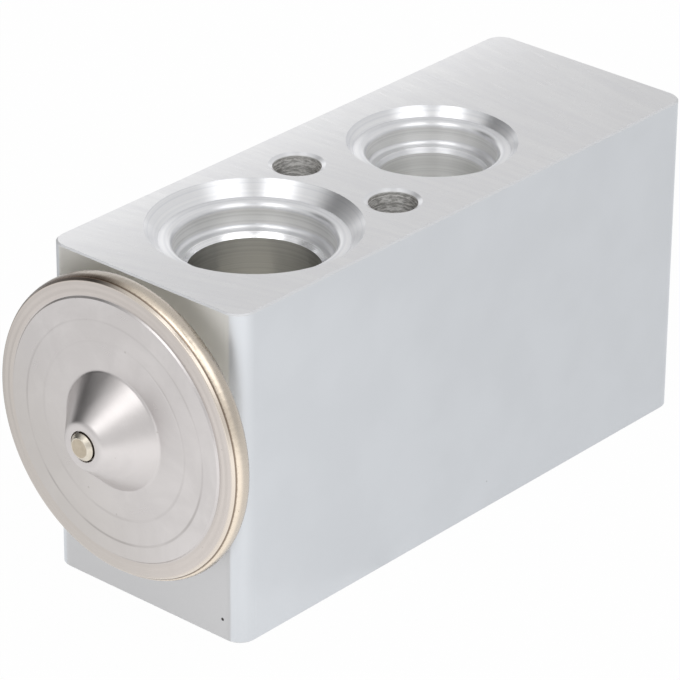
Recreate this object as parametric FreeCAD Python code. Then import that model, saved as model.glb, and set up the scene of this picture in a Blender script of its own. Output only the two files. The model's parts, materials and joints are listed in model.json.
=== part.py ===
import FreeCAD, Part

import math
import os

# Block-type thermostatic expansion valve, all sizes in millimetres.
# The block lies along X with its base port face on z = 0, and the origin is that face's centre.
# The power element's head is on the -X end face, and the adjusting screw is in the +X end face.

# Block section and the places of the ports and holes along it
BLOCK_WIDTH = 28.2
BLOCK_HEIGHT = 40.0
BLOCK_CORNER_RADIUS = 2.2
BLOCK_EDGE_BREAK = 0.2
AXIS_BELOW_TOP = 16.5
SUCTION_SETBACK = 17.7
PORT_SPACING = 29.8
FIXING_HOLE_OFFSET = 14.8
INLET_BEHIND_SEAT = 4.7
SCREW_END_LENGTH = 19.2

# Suction port: flared mouth, gland for a seal ring, socket and through passage
SUCTION_MOUTH_RADIUS = 12.1
SUCTION_LEDGE_RADIUS = 10.55
SUCTION_LEDGE_DEPTH = 1.6
SUCTION_GLAND_RADIUS = 9.0
SUCTION_GLAND_DEPTH = 4.6
SUCTION_LIP_RADIUS = 7.95
SUCTION_LIP_DEPTH = 5.2
SUCTION_SOCKET_RADIUS = 7.5
SUCTION_SOCKET_DEPTH = 13.0
SUCTION_PASSAGE_RADIUS = 7.0
SUCTION_LEDGE_ROUNDING = 1.3

# Liquid ports: the same form, smaller, with a drilled feed to the power axis
LIQUID_MOUTH_RADIUS = 9.8
LIQUID_LEDGE_RADIUS = 8.95
LIQUID_LEDGE_DEPTH = 1.1
LIQUID_GLAND_RADIUS = 7.5
LIQUID_GLAND_DEPTH = 3.8
LIQUID_LIP_RADIUS = 6.5
LIQUID_LIP_DEPTH = 4.4
LIQUID_SOCKET_RADIUS = 6.2
LIQUID_SOCKET_DEPTH = 11.5
LIQUID_FEED_RADIUS = 3.4
LIQUID_LEDGE_ROUNDING = 1.1
GLAND_FLOOR_ROUNDING = 0.5

# Fixing holes between the ports, drilled through and countersunk from both port faces
FIXING_HOLE_SPACING = 14.2
FIXING_HOLE_RADIUS = 2.8
FIXING_SINK_WIDTH = 0.45
FIXING_SINK_DEPTH = 0.26

# Power element head: two pressed covers with a diaphragm welded between their flanges
HEAD_RADIUS = 17.3
HEAD_SHEET = 1.1
HEAD_FLANGE_GAP = 2.1
HEAD_FLANGE_WIDTH = 2.6
HEAD_SEAT_RADIUS = 13.0
DISH_INNER_BEND = 0.4
DISH_OUTER_BEND = 0.6
COVER_STEP_RADIUS = 15.1
COVER_STEP_HEIGHT = 0.3
COVER_STEP_ROUNDING = 0.15
COVER_EDGE_ROUNDING = 0.3
CONE_BASE_RADIUS = 6.9
CONE_HEIGHT = 4.66
CONE_NOSE_RADIUS = 2.7
CONE_BASE_ROUNDING = 0.5
CONE_NOSE_ROUNDING = 0.9
CONE_INSIDE_BASE_ROUNDING = 0.4
CONE_INSIDE_NOSE_ROUNDING = 0.3
RIM_WELD_HEIGHT = 0.5

# Charge plug in the nose of the cone
PLUG_RADIUS = 1.5
PLUG_POCKET_RADIUS = 1.85
PLUG_POCKET_DEPTH = 0.6
PLUG_STAND = 0.5
PLUG_BEVEL = 0.4
PLUG_SHANK_RADIUS = 0.6
PLUG_SHANK_REACH = 0.5

# Head neck, screwed into the block, and the seal ring in the recess round it
NECK_RADIUS = 9.0
NECK_WALL = 1.5
NECK_LENGTH = 6.6
NECK_END_GAP = 0.8
NECK_CHAMFER = 0.5
NECK_MOUTH_ROUNDING = 0.3
HEAD_SEAL_SECTION = 1.7

# Diaphragm between the covers, and the pad under it
DIAPHRAGM_THICKNESS = 0.2
DIAPHRAGM_WAVE_DEPTH = 0.3
DIAPHRAGM_WAVES = 3
DIAPHRAGM_WAVE_MARGIN = 0.25
PAD_RADIUS = 9.6
PAD_BOSS_RADIUS = 4.4
PAD_BOSS_LENGTH = 3.0
PAD_EDGE_ROUNDING = 0.3

# Sensing stem, its plastic sleeve and the push rod
STEM_RADIUS = 2.4
STEM_SOCKET_DEPTH = 2.4
STEM_END_GAP = 1.9
STEM_FOOT_ROUNDING = 0.2
STEM_END_ROUNDING = 0.3
SLEEVE_WALL = 0.9
SLEEVE_LENGTH = 10.4
SLEEVE_SETBACK = 0.6
SLEEVE_WAY_GAP = 0.6
SLEEVE_ROUNDING = 0.25
ROD_RADIUS = 1.2
ROD_TIP_RADIUS = 0.9
ROD_TIP_LENGTH = 3.4
ROD_SOCKET_DEPTH = 6.0
ROD_END_ROUNDING = 0.15

# Rod seal pocket in the far wall of the suction passage
ROD_SEAL_SECTION = 1.6
ROD_SEAL_POCKET_DEPTH = 3.2
RETAINER_THICKNESS = 0.5
RETAINER_TEETH = 8
RETAINER_NOTCH_WIDTH = 0.6
RETAINER_NOTCH_DEPTH = 0.6
RETAINER_HOLE_GAP = 0.3

# Valve seat, ball, carrier and chamber
STROKE = 0.8
ORIFICE_RADIUS = 1.9
SEAT_LAND = 1.6
BALL_RADIUS = 2.6
CHAMBER_RADIUS = 5.6
DRILL_POINT_ANGLE = 59.0
CARRIER_LIP_SETBACK = 0.9
CARRIER_BOSS_RADIUS = 3.3
CARRIER_BOSS_LENGTH = 1.6
CARRIER_BOSS_ROUNDING = 0.3
CARRIER_FLANGE_RADIUS = 4.6
CARRIER_FLANGE_THICKNESS = 1.2
CARRIER_FLANGE_ROUNDING = 0.2
SPIGOT_RADIUS = 2.7
SPIGOT_GAP = 0.6
SPIGOT_CHAMFER = 0.4

# Damper spring behind the carrier flange
DAMPER_SHEET = 0.3
DAMPER_FINGERS = 3
DAMPER_FINGER_SWEEP = 26.0
DAMPER_FINGER_LENGTH = 4.2
DAMPER_FINGER_BOW = 0.3

# Superheat spring, ground flat at both ends
SPRING_WIRE_RADIUS = 0.5
SPRING_MEAN_RADIUS = 3.5
SPRING_LENGTH = 8.0
SPRING_TURNS = 5

# Adjusting screw and its seal ring
SCREW_THREAD_RADIUS = 7.0
SCREW_PITCH = 1.0
SCREW_TURNS_IN = 1.0
SCREW_TURNS_OUT = 0.5
SCREW_RECESS = 1.6
SCREW_COLLAR = 1.0
SCREW_COLLAR_ROUNDING = 0.2
SCREW_THREAD_ROUNDING = 0.3
SCREW_SEAL_SECTION = 1.5
SCREW_NECK_GAP = 0.2
HEX_CORNERS = 6
HEX_SOCKET_FLATS = 6.0
HEX_SOCKET_DEPTH = 3.4
SCREW_END_CHAMFER = 0.5

# Largest share of a side that one rounding may take up, and a whole turn in degrees
ROUNDING_SHARE = 0.49
WHOLE_TURN = 360.0

# Clearances
THREAD_CLEARANCE = 0.05
RUNNING_CLEARANCE = 0.05
SEAL_CLEARANCE = 0.03
CONTACT_GAP = 0.02

# Stations along the power axis, as distances from the head face into the block
TOP_LIQUID_SETBACK = SUCTION_SETBACK + PORT_SPACING
SEAT_SETBACK = TOP_LIQUID_SETBACK + LIQUID_FEED_RADIUS + SEAT_LAND
BASE_LIQUID_SETBACK = SEAT_SETBACK + INLET_BEHIND_SEAT
BLOCK_LENGTH = BASE_LIQUID_SETBACK + SCREW_END_LENGTH

# The same stations in the part's frame
HEAD_FACE = -BLOCK_LENGTH / 2
FAR_FACE = BLOCK_LENGTH / 2
AXIS_Z = BLOCK_HEIGHT - AXIS_BELOW_TOP
SUCTION_X = HEAD_FACE + SUCTION_SETBACK
FIXING_X = SUCTION_X + FIXING_HOLE_OFFSET
TOP_LIQUID_X = HEAD_FACE + TOP_LIQUID_SETBACK
BASE_LIQUID_X = HEAD_FACE + BASE_LIQUID_SETBACK
SEAT_X = HEAD_FACE + SEAT_SETBACK

# Head planes, outwards from the head face, so each is a smaller x than the last
FLANGE_BACK = HEAD_FACE - HEAD_FLANGE_GAP
DIAPHRAGM_BACK = FLANGE_BACK - HEAD_SHEET
DIAPHRAGM_FRONT = DIAPHRAGM_BACK - DIAPHRAGM_THICKNESS
FLANGE_FRONT = DIAPHRAGM_FRONT - HEAD_SHEET
COVER_FRONT = FLANGE_FRONT - COVER_STEP_HEIGHT
NOSE_FRONT = COVER_FRONT - CONE_HEIGHT
PLUG_SEAT = NOSE_FRONT + PLUG_POCKET_DEPTH
DISH_FLOOR = HEAD_FACE - HEAD_SHEET
NECK_BORE_END = HEAD_FACE + NECK_LENGTH + NECK_END_GAP

# Moving train, inwards from the diaphragm, at rest with the ball on its seat
PAD_TOP = DIAPHRAGM_BACK + CONTACT_GAP
PAD_BACK = DISH_FLOOR - STROKE - CONTACT_GAP
PAD_BOSS_END = PAD_BACK + PAD_BOSS_LENGTH
STEM_START = PAD_BOSS_END - STEM_SOCKET_DEPTH
PASSAGE_FAR_WALL = SUCTION_X + SUCTION_PASSAGE_RADIUS
STEM_END = PASSAGE_FAR_WALL - STEM_END_GAP
SLEEVE_RADIUS = STEM_RADIUS + SLEEVE_WALL
SEAL_POCKET_END = PASSAGE_FAR_WALL + ROD_SEAL_POCKET_DEPTH
SEAL_POCKET_RADIUS = ROD_RADIUS + ROD_SEAL_SECTION
BALL_X = SEAT_X + math.sqrt(BALL_RADIUS ** 2 - ORIFICE_RADIUS ** 2) + CONTACT_GAP
ROD_END = BALL_X - BALL_RADIUS
CARRIER_FRONT = BALL_X + CARRIER_LIP_SETBACK
FLANGE_START = CARRIER_FRONT + CARRIER_BOSS_LENGTH
FLANGE_END = FLANGE_START + CARRIER_FLANGE_THICKNESS
SPRING_START = FLANGE_END + DAMPER_SHEET
SPRING_END = SPRING_START + SPRING_LENGTH

# Adjusting screw, inwards to outwards
TRAVEL_IN = SCREW_TURNS_IN * SCREW_PITCH
TRAVEL_OUT = SCREW_TURNS_OUT * SCREW_PITCH
SPIGOT_LENGTH = (SPRING_LENGTH - STROKE - TRAVEL_IN - SPIGOT_GAP) / 2
SEAL_GROOVE_START = SPRING_END + SCREW_COLLAR
SEAL_GROOVE_END = SEAL_GROOVE_START + SCREW_SEAL_SECTION
THREAD_BORE_START = SEAL_GROOVE_END + TRAVEL_OUT + SCREW_NECK_GAP
SCREW_THREAD_START = THREAD_BORE_START + TRAVEL_IN + SCREW_NECK_GAP
SCREW_END = FAR_FACE - SCREW_RECESS


def rounded_wire(corners, place):
    """Closed wire through corners (a, b, rounding), with place(a, b) giving each point in space."""
    flat = [FreeCAD.Vector(a, b, 0) for a, b, rounding in corners]
    count = len(corners)
    starts = []
    ends = []
    middles = []
    for index, here in enumerate(flat):
        back = flat[index - 1] - here
        ahead = flat[(index + 1) % count] - here
        half = back.getAngle(ahead) / 2
        limit = ROUNDING_SHARE * min(back.Length, ahead.Length) * math.tan(half)
        radius = min(corners[index][2], limit)
        reach = radius / math.tan(half)
        back.normalize()
        ahead.normalize()
        starts.append(here + back * reach)
        ends.append(here + ahead * reach)
        inward = back + ahead
        if radius > 0:
            inward.normalize()
            middles.append(here + inward * (radius / math.sin(half) - radius))
        else:
            middles.append(here)
    edges = []
    for index in range(count):
        start = place(starts[index].x, starts[index].y)
        end = place(ends[index].x, ends[index].y)
        if corners[index][2] > 0:
            middle = place(middles[index].x, middles[index].y)
            edges.append(Part.Arc(start, middle, end).toShape())
        following = (index + 1) % count
        target = place(starts[following].x, starts[following].y)
        edges.append(Part.LineSegment(end, target).toShape())
    return Part.Wire(edges)


def beside_axis(along, radius):
    """Point above the power axis, in the plane that the turned outlines are drawn in."""
    return FreeCAD.Vector(along, 0, AXIS_Z + radius)


def turn_wire(wire, sweep=WHOLE_TURN):
    """Solid of a closed outline turned about the power axis."""
    centre = FreeCAD.Vector(0, 0, AXIS_Z)
    return Part.Face(wire).revolve(centre, FreeCAD.Vector(1, 0, 0), sweep)


def turned(corners):
    """Solid turned about the power axis from corners (x, radius, rounding)."""
    return turn_wire(rounded_wire(corners, beside_axis))


def rod_along(start, end, radius):
    """Plain cylinder on the power axis."""
    base = FreeCAD.Vector(start, 0, AXIS_Z)
    return Part.makeCylinder(radius, end - start, base, FreeCAD.Vector(1, 0, 0))


def ring_on_axis(centre_x, middle_radius, section_radius):
    """Seal ring of round section on the power axis."""
    centre = FreeCAD.Vector(centre_x, 0, AXIS_Z)
    return Part.makeTorus(middle_radius, section_radius, centre, FreeCAD.Vector(1, 0, 0))


def turned_about_axis(shape, angle):
    """Copy of a shape turned about the power axis by an angle in degrees."""
    copy = shape.copy()
    copy.rotate(FreeCAD.Vector(0, 0, AXIS_Z), FreeCAD.Vector(1, 0, 0), angle)
    return copy


def bored_from_face(centre_x, centre_y, face_z, inward, corners):
    """Cutter turned about a vertical axis from corners (depth, radius, rounding)."""
    def place(depth, radius):
        return FreeCAD.Vector(centre_x + radius, centre_y, face_z + inward * depth)

    centre = FreeCAD.Vector(centre_x, centre_y, face_z)
    face = Part.Face(rounded_wire(corners, place))
    return face.revolve(centre, FreeCAD.Vector(0, 0, 1), WHOLE_TURN)


def block_blank():
    """Bar of rounded-rectangle section, cut to height, with its end edges broken."""
    half_length = BLOCK_LENGTH / 2
    half_width = BLOCK_WIDTH / 2
    corners = [
        (-half_length, -half_width, BLOCK_CORNER_RADIUS),
        (half_length, -half_width, BLOCK_CORNER_RADIUS),
        (half_length, half_width, BLOCK_CORNER_RADIUS),
        (-half_length, half_width, BLOCK_CORNER_RADIUS),
    ]
    outline = rounded_wire(corners, lambda x, y: FreeCAD.Vector(x, y, 0))
    bar = Part.Face(outline).extrude(FreeCAD.Vector(0, 0, BLOCK_HEIGHT))
    end_edges = [edge for edge in bar.Edges if edge.BoundBox.ZLength < BLOCK_EDGE_BREAK]
    return bar.makeChamfer(BLOCK_EDGE_BREAK, end_edges)


def suction_port(face_z, inward):
    """Mouth, gland and socket of one end of the suction passage."""
    return bored_from_face(SUCTION_X, 0, face_z, inward, [
        (0, 0, 0),
        (0, SUCTION_MOUTH_RADIUS, 0),
        (SUCTION_LEDGE_DEPTH, SUCTION_LEDGE_RADIUS, 0),
        (SUCTION_LEDGE_DEPTH, SUCTION_GLAND_RADIUS, SUCTION_LEDGE_ROUNDING),
        (SUCTION_GLAND_DEPTH, SUCTION_GLAND_RADIUS, GLAND_FLOOR_ROUNDING),
        (SUCTION_GLAND_DEPTH, SUCTION_LIP_RADIUS, 0),
        (SUCTION_LIP_DEPTH, SUCTION_SOCKET_RADIUS, 0),
        (SUCTION_SOCKET_DEPTH, SUCTION_SOCKET_RADIUS, 0),
        (SUCTION_SOCKET_DEPTH, 0, 0),
    ])


def liquid_port(centre_x, face_z, inward, feed_depth):
    """Mouth, gland and socket of a liquid port, and the feed drilled on to the valve."""
    return bored_from_face(centre_x, 0, face_z, inward, [
        (0, 0, 0),
        (0, LIQUID_MOUTH_RADIUS, 0),
        (LIQUID_LEDGE_DEPTH, LIQUID_LEDGE_RADIUS, 0),
        (LIQUID_LEDGE_DEPTH, LIQUID_GLAND_RADIUS, LIQUID_LEDGE_ROUNDING),
        (LIQUID_GLAND_DEPTH, LIQUID_GLAND_RADIUS, GLAND_FLOOR_ROUNDING),
        (LIQUID_GLAND_DEPTH, LIQUID_LIP_RADIUS, 0),
        (LIQUID_LIP_DEPTH, LIQUID_SOCKET_RADIUS, 0),
        (LIQUID_SOCKET_DEPTH, LIQUID_SOCKET_RADIUS, 0),
        (LIQUID_SOCKET_DEPTH, LIQUID_FEED_RADIUS, 0),
        (feed_depth, LIQUID_FEED_RADIUS, 0),
        (feed_depth, 0, 0),
    ])


def fixing_hole(centre_y):
    """One hole drilled from face to face and countersunk from both."""
    hole = Part.makeCylinder(FIXING_HOLE_RADIUS, BLOCK_HEIGHT, FreeCAD.Vector(FIXING_X, centre_y, 0))
    for face_z, inward in ((0, 1), (BLOCK_HEIGHT, -1)):
        sink = bored_from_face(FIXING_X, centre_y, face_z, inward, [
            (0, 0, 0),
            (0, FIXING_HOLE_RADIUS + FIXING_SINK_WIDTH, 0),
            (FIXING_SINK_DEPTH, FIXING_HOLE_RADIUS, 0),
            (FIXING_SINK_DEPTH, 0, 0),
        ])
        hole = hole.fuse(sink)
    return hole


def drill_point_length(wide, narrow=0.0):
    """Length of the cone that a drill leaves between two radii."""
    return (wide - narrow) / math.tan(math.radians(DRILL_POINT_ANGLE))


def power_axis_bores():
    """Every bore on the power axis, from the head's thread to the adjusting screw's thread."""
    head_thread = rod_along(HEAD_FACE, NECK_BORE_END, NECK_RADIUS + THREAD_CLEARANCE)
    seal_radius = NECK_RADIUS + HEAD_SEAL_SECTION + SEAL_CLEARANCE
    seal_recess = rod_along(HEAD_FACE, HEAD_FACE + HEAD_SEAL_SECTION, seal_radius)
    stem_way = rod_along(NECK_BORE_END, SUCTION_X, SLEEVE_RADIUS + SLEEVE_WAY_GAP)
    seal_pocket = rod_along(SUCTION_X, SEAL_POCKET_END, SEAL_POCKET_RADIUS)
    rod_guide = rod_along(SEAL_POCKET_END, TOP_LIQUID_X, ROD_RADIUS + RUNNING_CLEARANCE)
    orifice = rod_along(TOP_LIQUID_X, SEAT_X, ORIFICE_RADIUS)
    floor_end = SEAT_X + drill_point_length(CHAMBER_RADIUS, ORIFICE_RADIUS)
    thread_radius = SCREW_THREAD_RADIUS + THREAD_CLEARANCE
    screw_way = turned([
        (SEAT_X, 0, 0),
        (SEAT_X, ORIFICE_RADIUS, 0),
        (floor_end, CHAMBER_RADIUS, 0),
        (THREAD_BORE_START, CHAMBER_RADIUS, 0),
        (THREAD_BORE_START, thread_radius, 0),
        (FAR_FACE - SCREW_END_CHAMFER, thread_radius, 0),
        (FAR_FACE, thread_radius + SCREW_END_CHAMFER, 0),
        (FAR_FACE, 0, 0),
    ])
    return [head_thread, seal_recess, stem_way, seal_pocket, rod_guide, orifice, screw_way]


def valve_block():
    """Aluminium block with its ports, fixing holes and the stepped bore on the power axis."""
    outlet_depth = AXIS_BELOW_TOP + LIQUID_FEED_RADIUS
    cutters = [
        suction_port(BLOCK_HEIGHT, -1),
        suction_port(0, 1),
        Part.makeCylinder(SUCTION_PASSAGE_RADIUS, BLOCK_HEIGHT, FreeCAD.Vector(SUCTION_X, 0, 0)),
        liquid_port(TOP_LIQUID_X, BLOCK_HEIGHT, -1, outlet_depth),
        liquid_port(BASE_LIQUID_X, 0, 1, AXIS_Z),
        fixing_hole(-FIXING_HOLE_SPACING / 2),
        fixing_hole(FIXING_HOLE_SPACING / 2),
    ]
    block = block_blank()
    for cutter in cutters + power_axis_bores():
        block = block.cut(cutter)
    return block


def slope_shift(run, rise):
    """How far a sheet's inner bend lies behind its outer bend, measured along the flat."""
    return HEAD_SHEET * math.tan(math.atan2(rise, run) / 2)


def head_lower_cover():
    """Dished cover with the threaded neck that screws into the block."""
    flange_inner = HEAD_RADIUS - HEAD_FLANGE_WIDTH
    shift = slope_shift(flange_inner - HEAD_SEAT_RADIUS, HEAD_FLANGE_GAP)
    neck_end = HEAD_FACE + NECK_LENGTH
    neck_bore = NECK_RADIUS - NECK_WALL
    return turned([
        (neck_end, neck_bore, 0),
        (DISH_FLOOR, neck_bore, NECK_MOUTH_ROUNDING),
        (DISH_FLOOR, HEAD_SEAT_RADIUS - shift, DISH_INNER_BEND),
        (DIAPHRAGM_BACK, flange_inner - shift, DISH_INNER_BEND),
        (DIAPHRAGM_BACK, HEAD_RADIUS, 0),
        (FLANGE_BACK, HEAD_RADIUS, 0),
        (FLANGE_BACK, flange_inner, DISH_OUTER_BEND),
        (HEAD_FACE, HEAD_SEAT_RADIUS, DISH_OUTER_BEND),
        (HEAD_FACE, NECK_RADIUS, 0),
        (neck_end - NECK_CHAMFER, NECK_RADIUS, 0),
        (neck_end, NECK_RADIUS - NECK_CHAMFER, 0),
    ])


def head_upper_cover():
    """Pressed cover with a stepped rim and a hollow cone that ends in the plug's pocket."""
    cone_run = CONE_BASE_RADIUS - CONE_NOSE_RADIUS
    lean = math.atan2(cone_run, CONE_HEIGHT)
    inner_offset = HEAD_SHEET / math.cos(lean)
    inner_front = COVER_FRONT + HEAD_SHEET
    nose_inside = PLUG_SEAT + HEAD_SHEET - PLUG_POCKET_DEPTH / 2
    step_inner = COVER_STEP_RADIUS - HEAD_SHEET / 2

    def inner_cone_radius(along):
        outer = CONE_NOSE_RADIUS + (along - NOSE_FRONT) * math.tan(lean)
        return outer - inner_offset

    hole_radius = PLUG_SHANK_RADIUS + CONTACT_GAP
    return turned([
        (PLUG_SEAT, hole_radius, 0),
        (PLUG_SEAT, PLUG_POCKET_RADIUS, 0),
        (NOSE_FRONT, PLUG_POCKET_RADIUS, 0),
        (NOSE_FRONT, CONE_NOSE_RADIUS, CONE_NOSE_ROUNDING),
        (COVER_FRONT, CONE_BASE_RADIUS, CONE_BASE_ROUNDING),
        (COVER_FRONT, COVER_STEP_RADIUS, COVER_STEP_ROUNDING),
        (FLANGE_FRONT, COVER_STEP_RADIUS + COVER_STEP_HEIGHT, COVER_STEP_ROUNDING),
        (FLANGE_FRONT, HEAD_RADIUS, COVER_EDGE_ROUNDING),
        (DIAPHRAGM_FRONT, HEAD_RADIUS, 0),
        (DIAPHRAGM_FRONT, step_inner, 0),
        (inner_front, step_inner - COVER_STEP_HEIGHT, 0),
        (inner_front, inner_cone_radius(inner_front), CONE_INSIDE_BASE_ROUNDING),
        (nose_inside, inner_cone_radius(nose_inside), CONE_INSIDE_NOSE_ROUNDING),
        (nose_inside, hole_radius, 0),
    ])


def head_rim_weld():
    """Rounded weld bead over the edges of the covers and the diaphragm."""
    front = FLANGE_FRONT + COVER_EDGE_ROUNDING
    start = beside_axis(front, HEAD_RADIUS)
    crest = beside_axis((front + FLANGE_BACK) / 2, HEAD_RADIUS + RIM_WELD_HEIGHT)
    end = beside_axis(FLANGE_BACK, HEAD_RADIUS)
    bead = Part.Arc(start, crest, end).toShape()
    seat = Part.LineSegment(end, start).toShape()
    return turn_wire(Part.Wire([bead, seat]))


def diaphragm():
    """Thin disc, clamped at its rim, with round waves between the pad and the flange."""
    wave_start = PAD_RADIUS + DIAPHRAGM_WAVE_MARGIN
    flange_inner = HEAD_RADIUS - HEAD_FLANGE_WIDTH
    shift = slope_shift(flange_inner - HEAD_SEAT_RADIUS, HEAD_FLANGE_GAP)
    wave_end = flange_inner - shift - DIAPHRAGM_WAVE_MARGIN
    pitch = (wave_end - wave_start) / DIAPHRAGM_WAVES
    edges = []

    def line(first, second):
        edges.append(Part.LineSegment(beside_axis(*first), beside_axis(*second)).toShape())

    def wave(base, low, high):
        middle = beside_axis(base + DIAPHRAGM_WAVE_DEPTH, (low + high) / 2)
        edges.append(Part.Arc(beside_axis(base, low), middle, beside_axis(base, high)).toShape())

    line((DIAPHRAGM_BACK, 0), (DIAPHRAGM_BACK, wave_start))
    for index in range(DIAPHRAGM_WAVES):
        low = wave_start + index * pitch
        wave(DIAPHRAGM_BACK, low, low + pitch)
    line((DIAPHRAGM_BACK, wave_end), (DIAPHRAGM_BACK, HEAD_RADIUS))
    line((DIAPHRAGM_BACK, HEAD_RADIUS), (DIAPHRAGM_FRONT, HEAD_RADIUS))
    line((DIAPHRAGM_FRONT, HEAD_RADIUS), (DIAPHRAGM_FRONT, wave_end))
    for index in reversed(range(DIAPHRAGM_WAVES)):
        low = wave_start + index * pitch
        wave(DIAPHRAGM_FRONT, low + pitch, low)
    line((DIAPHRAGM_FRONT, wave_start), (DIAPHRAGM_FRONT, 0))
    line((DIAPHRAGM_FRONT, 0), (DIAPHRAGM_BACK, 0))
    return turn_wire(Part.Wire(edges))


def charge_plug():
    """Bevelled plug welded into the nose's pocket, with a shank through the cover."""
    front = NOSE_FRONT - PLUG_STAND
    shank_end = PLUG_SEAT + HEAD_SHEET + PLUG_SHANK_REACH
    return turned([
        (front, 0, 0),
        (front, PLUG_RADIUS - PLUG_BEVEL, 0),
        (front + PLUG_BEVEL, PLUG_RADIUS, 0),
        (PLUG_SEAT, PLUG_RADIUS, 0),
        (PLUG_SEAT, PLUG_SHANK_RADIUS, 0),
        (shank_end, PLUG_SHANK_RADIUS, 0),
        (shank_end, 0, 0),
    ])


def head_seal_ring():
    """Seal ring in the recess round the neck, under the lower cover."""
    section = HEAD_SEAL_SECTION / 2 - SEAL_CLEARANCE
    centre = HEAD_FACE + HEAD_SEAL_SECTION / 2
    return ring_on_axis(centre, NECK_RADIUS + HEAD_SEAL_SECTION / 2 + SEAL_CLEARANCE, section)


def diaphragm_pad():
    """Stop disc under the diaphragm, with a boss that holds the sensing stem."""
    socket_radius = STEM_RADIUS + CONTACT_GAP
    return turned([
        (PAD_TOP, 0, 0),
        (PAD_TOP, PAD_RADIUS, PAD_EDGE_ROUNDING),
        (PAD_BACK, PAD_RADIUS, PAD_EDGE_ROUNDING),
        (PAD_BACK, PAD_BOSS_RADIUS, PAD_EDGE_ROUNDING),
        (PAD_BOSS_END, PAD_BOSS_RADIUS, PAD_EDGE_ROUNDING),
        (PAD_BOSS_END, socket_radius, 0),
        (STEM_START, socket_radius, 0),
        (STEM_START, 0, 0),
    ])


def sensing_stem():
    """Stem that crosses the suction passage and carries its temperature to the diaphragm."""
    socket_radius = ROD_RADIUS + CONTACT_GAP
    socket_end = STEM_END - ROD_SOCKET_DEPTH
    return turned([
        (STEM_START, 0, 0),
        (STEM_START, STEM_RADIUS, STEM_FOOT_ROUNDING),
        (STEM_END, STEM_RADIUS, STEM_END_ROUNDING),
        (STEM_END, socket_radius, 0),
        (socket_end, socket_radius, 0),
        (socket_end, 0, 0),
    ])


def stem_sleeve():
    """Plastic sleeve that slows the stem's response to the suction gas."""
    end = STEM_END - SLEEVE_SETBACK
    bore = STEM_RADIUS + CONTACT_GAP
    return turned([
        (end - SLEEVE_LENGTH, bore, 0),
        (end - SLEEVE_LENGTH, SLEEVE_RADIUS, SLEEVE_ROUNDING),
        (end, SLEEVE_RADIUS, SLEEVE_ROUNDING),
        (end, bore, 0),
    ])


def push_rod():
    """Rod from the stem to the ball, thinned where it passes the orifice."""
    start = STEM_END - ROD_SOCKET_DEPTH
    tip_start = ROD_END - ROD_TIP_LENGTH
    return turned([
        (start, 0, 0),
        (start, ROD_RADIUS, ROD_END_ROUNDING),
        (tip_start - (ROD_RADIUS - ROD_TIP_RADIUS), ROD_RADIUS, 0),
        (tip_start, ROD_TIP_RADIUS, 0),
        (ROD_END, ROD_TIP_RADIUS, ROD_END_ROUNDING),
        (ROD_END, 0, 0),
    ])


def rod_seal_ring():
    """Seal ring on the push rod, at the floor of its pocket."""
    section = ROD_SEAL_SECTION / 2 - SEAL_CLEARANCE
    centre = SEAL_POCKET_END - ROD_SEAL_SECTION / 2
    return ring_on_axis(centre, ROD_RADIUS + ROD_SEAL_SECTION / 2, section)


def rod_seal_retainer():
    """Toothed push-in washer that keeps the rod's seal ring in its pocket."""
    end = SEAL_POCKET_END - ROD_SEAL_SECTION
    start = end - RETAINER_THICKNESS
    outer = SEAL_POCKET_RADIUS - CONTACT_GAP
    washer = rod_along(start, end, outer)
    washer = washer.cut(rod_along(start, end, ROD_RADIUS + RETAINER_HOLE_GAP))
    for index in range(RETAINER_TEETH):
        corner = FreeCAD.Vector(start, -RETAINER_NOTCH_WIDTH / 2, AXIS_Z + outer - RETAINER_NOTCH_DEPTH)
        notch = Part.makeBox(RETAINER_THICKNESS, RETAINER_NOTCH_WIDTH, ROD_SEAL_SECTION, corner)
        washer = washer.cut(turned_about_axis(notch, index * WHOLE_TURN / RETAINER_TEETH))
    return washer


def valve_ball():
    """Ball that closes the orifice."""
    return Part.makeSphere(BALL_RADIUS, FreeCAD.Vector(BALL_X, 0, AXIS_Z))


def ball_carrier():
    """Flanged carrier with a round socket for the ball and a spigot for the spring."""
    spigot_end = SPRING_START + SPIGOT_LENGTH
    body = turned([
        (CARRIER_FRONT, 0, 0),
        (CARRIER_FRONT, CARRIER_BOSS_RADIUS, CARRIER_BOSS_ROUNDING),
        (FLANGE_START, CARRIER_BOSS_RADIUS, CARRIER_BOSS_ROUNDING),
        (FLANGE_START, CARRIER_FLANGE_RADIUS, CARRIER_FLANGE_ROUNDING),
        (FLANGE_END, CARRIER_FLANGE_RADIUS, CARRIER_FLANGE_ROUNDING),
        (FLANGE_END, SPIGOT_RADIUS, 0),
        (spigot_end - SPIGOT_CHAMFER, SPIGOT_RADIUS, 0),
        (spigot_end, SPIGOT_RADIUS - SPIGOT_CHAMFER, 0),
        (spigot_end, 0, 0),
    ])
    socket = Part.makeSphere(BALL_RADIUS + CONTACT_GAP, FreeCAD.Vector(BALL_X, 0, AXIS_Z))
    return body.cut(socket)


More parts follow.
